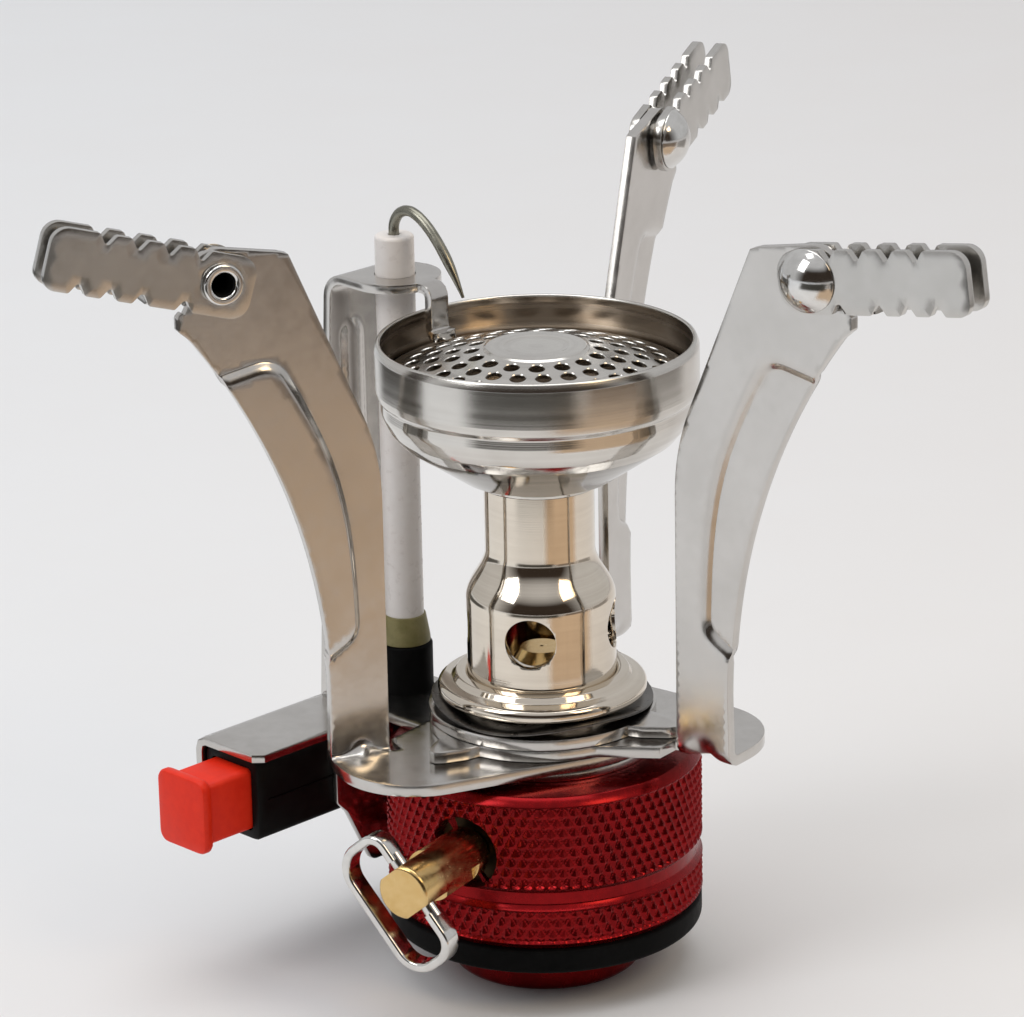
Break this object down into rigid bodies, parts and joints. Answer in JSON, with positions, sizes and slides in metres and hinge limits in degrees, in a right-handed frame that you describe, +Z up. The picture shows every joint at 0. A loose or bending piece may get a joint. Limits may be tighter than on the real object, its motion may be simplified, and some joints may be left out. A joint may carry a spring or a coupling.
{
  "type": "backpacking stove",
  "caption": "Folding canister-top gas stove with a knurled valve body, perforated burner bowl, swinging legs with notched pot arms, wire valve handle and push-button igniter.",
  "frame": {"origin": "centre of the canister boss's lower face, on the stove's axis", "axes": "+Z up along the burner axis, X to the right in the picture, the camera on the -Y side"},
  "size_m": [0.0963, 0.086, 0.0927],
  "materials": {
    "red_anodised": "satin red anodising",
    "black_rubber": "matt",
    "brass": "machined",
    "plated_wire": "bright",
    "nickel_plate": "bright nickel plate",
    "spun_steel": "spun, satin",
    "sheet_steel": "satin sheet",
    "spring_steel": "dark",
    "black_plastic": "satin",
    "red_plastic": "satin orange-red",
    "white_ceramic": "glazed ceramic",
    "olive_sleeve": "matt"
  },
  "bodies": {
    "stove_body": {"valve_body": "red_anodised", "base_ring": "black_rubber", "canister_seal": "black_rubber", "valve_pin": "brass", "gas_jet": "brass", "gland_nut": "brass", "spindle_seal": "black_rubber", "burner_column": "nickel_plate", "burner_bowl": "spun_steel", "burner_plate": "spun_steel", "wave_washer": "spring_steel", "igniter_bracket": "sheet_steel", "igniter_case": "black_plastic", "button_spring": "spring_steel", "igniter_hammer": "spring_steel", "piezo_element": "white_ceramic", "insulator_boot": "black_rubber", "insulator_sleeve": "olive_sleeve", "ceramic_insulator": "white_ceramic", "electrode_wire": "spring_steel"},
    "valve_spindle": {"valve_spindle": "brass"},
    "handle_loop": {"handle_loop": "plated_wire"},
    "igniter_button": {"igniter_button": "red_plastic"},
    "leg_left": {"leg_left": "sheet_steel", "rivet_left": "nickel_plate"},
    "arm_left": {"arm_left": "sheet_steel"},
    "leg_right": {"leg_right": "sheet_steel", "rivet_right": "nickel_plate"},
    "arm_right": {"arm_right": "sheet_steel"},
    "leg_back": {"leg_back": "sheet_steel", "rivet_back": "nickel_plate"},
    "arm_back": {"arm_back": "sheet_steel"}
  },
  "joints": [
    {"name": "leg_left_swing", "type": "hinge", "parent": "stove_body", "child": "leg_left", "pos_m": [0, 0, 0.0266], "axis": [0, 0, 1], "range_deg": [0, 100]},
    {"name": "leg_right_swing", "type": "hinge", "parent": "stove_body", "child": "leg_right", "pos_m": [0, 0, 0.02788], "axis": [0, 0, 1], "range_deg": [-100, 0]},
    {"name": "leg_back_swing", "type": "hinge", "parent": "leg_right", "child": "leg_back", "pos_m": [0, 0, 0.02916], "axis": [0, 0, 1], "range_deg": [-84, 0]},
    {"name": "arm_left_fold", "type": "hinge", "parent": "leg_left", "child": "arm_left", "pos_m": [-0.03295, -0.01399, 0.0828], "axis": [-0.3907, 0.9205, 0], "range_deg": [-10, 149]},
    {"name": "arm_right_fold", "type": "hinge", "parent": "leg_right", "child": "arm_right", "pos_m": [0.02859, -0.02155, 0.08408], "axis": [-0.6018, -0.7986, 0], "range_deg": [-2, 157]},
    {"name": "arm_back_fold", "type": "hinge", "parent": "leg_back", "child": "arm_back", "pos_m": [0.01399, 0.03295, 0.08536], "axis": [0.9205, -0.3907, 0], "range_deg": [-8, 151]},
    {"name": "spindle_turn", "type": "hinge", "parent": "stove_body", "child": "valve_spindle", "pos_m": [-0.0103, -0.01714, 0.0184], "axis": [-0.515, -0.8572, 0], "range_deg": [0, 540]},
    {"name": "handle_fold", "type": "hinge", "parent": "valve_spindle", "child": "handle_loop", "pos_m": [-0.01391, -0.02314, 0.0184], "axis": [0.551, -0.3311, -0.766], "range_deg": [-225, 45]},
    {"name": "button_press", "type": "slide", "parent": "stove_body", "child": "igniter_button", "axis": [0.7071, 0.7071, 0], "range_m": [0, 0.0045], "stiffness_N_per_m": 2000, "springref_m": -0.002, "deforming": ["button_spring"]}
  ]
}
